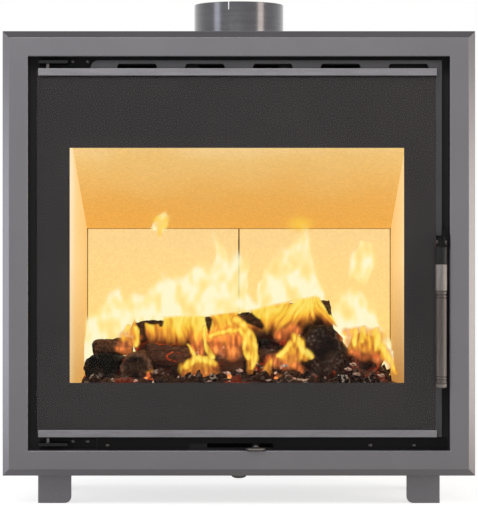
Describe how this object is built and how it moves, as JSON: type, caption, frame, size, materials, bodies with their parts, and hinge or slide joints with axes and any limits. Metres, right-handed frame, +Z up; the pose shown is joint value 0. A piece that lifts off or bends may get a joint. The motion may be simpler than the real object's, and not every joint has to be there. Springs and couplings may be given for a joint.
{
  "type": "fireplace insert",
  "caption": "Built-in wood fireplace insert: bevelled front frame, pinned glass door with a swing handle, board-lined firebox with logs, air slide, round flue collar and bent feet.",
  "frame": {"origin": "on the floor under the middle of the whole insert's box", "axes": "+Z up; +Y from the front frame towards the chimney breast; +X to the right as one faces the door"},
  "size_m": [0.76, 0.4256, 0.823],
  "materials": {
    "grey_stove_paint": "satin metallic grey high-temperature paint",
    "black_stove_paint": "matt black high-temperature paint",
    "brushed_collar_steel": "brushed along the tube's axis",
    "satin_clamp_steel": "satin, brushed lengthwise",
    "galvanised_sheet": "zinc-coated sheet",
    "polished_steel": "polished",
    "dark_brushed_steel": "darkened and brushed",
    "ceramic_glass": "clear glass-ceramic with a black enamel border",
    "gasket_rope": "woven glass-fibre rope",
    "vermiculite_board": "pressed vermiculite, lit by the fire",
    "cast_iron": "raw casting",
    "embers": "charcoal, ash and glowing ember",
    "charred_wood": "charred bark and wood"
  },
  "bodies": {
    "root": {"front_frame": "grey_stove_paint", "recess_liner": "black_stove_paint", "front_plate": "black_stove_paint", "lower_fascia": "black_stove_paint", "frame_clip": "black_stove_paint", "frame_clip_bolt": "dark_brushed_steel", "body_left_plate": "black_stove_paint", "body_right_plate": "black_stove_paint", "body_back_plate": "black_stove_paint", "body_top_plate": "black_stove_paint", "body_base_plate": "black_stove_paint", "body_floor_plate": "black_stove_paint", "flue_collar": "brushed_collar_steel", "casing_left": "galvanised_sheet", "casing_right": "galvanised_sheet", "casing_back": "galvanised_sheet", "casing_top": "galvanised_sheet", "hinge_bracket_top": "black_stove_paint", "hinge_bracket_bottom": "black_stove_paint", "latch_keeper": "black_stove_paint", "foot_front_left": "grey_stove_paint", "foot_front_right": "grey_stove_paint", "foot_rear_left": "grey_stove_paint", "foot_rear_right": "grey_stove_paint", "lining_left": "vermiculite_board", "lining_right": "vermiculite_board", "lining_back_left": "vermiculite_board", "lining_back_right": "vermiculite_board", "baffle_board": "vermiculite_board", "hearth_board_left": "vermiculite_board", "hearth_board_right": "vermiculite_board", "hearth_board_front": "vermiculite_board", "hearth_board_back": "vermiculite_board", "grate": "cast_iron", "ash_well": "black_stove_paint", "ash_pan": "galvanised_sheet", "ember_bed": "embers", "log_left_outer": "charred_wood", "log_left_inner": "charred_wood", "log_low": "charred_wood", "log_right_front": "charred_wood", "log_right_outer": "charred_wood", "log_middle": "charred_wood", "log_back": "charred_wood", "branch_left": "charred_wood"},
    "door": {"door_frame": "black_stove_paint", "door_glass": "ceramic_glass", "glass_clamp_top": "satin_clamp_steel", "glass_clamp_bottom": "satin_clamp_steel", "door_gasket": "gasket_rope", "handle_bracket": "black_stove_paint", "handle_pivot_pin": "dark_brushed_steel", "hinge_pin_top": "polished_steel", "hinge_pin_bottom": "polished_steel"},
    "handle": {"latch_lever": "black_stove_paint", "handle_ferrule": "polished_steel", "handle_grip": "dark_brushed_steel", "handle_end_cap": "polished_steel"},
    "air_control": {"air_slide": "dark_brushed_steel", "air_knob": "polished_steel"}
  },
  "joints": [
    {"name": "door_hinge", "type": "hinge", "parent": "root", "child": "door", "pos_m": [-0.308, -0.16737, 0.4055], "axis": [0, 0, -1], "range_deg": [0, 110]},
    {"name": "handle_pivot", "type": "hinge", "parent": "door", "child": "handle", "pos_m": [0.323, -0.18338, 0.423], "axis": [-1, 0, 0], "range_deg": [0, 40]},
    {"name": "air_slide_travel", "type": "slide", "parent": "root", "child": "air_control", "axis": [1, 0, 0], "range_m": [-0.07, 0.02]}
  ]
}
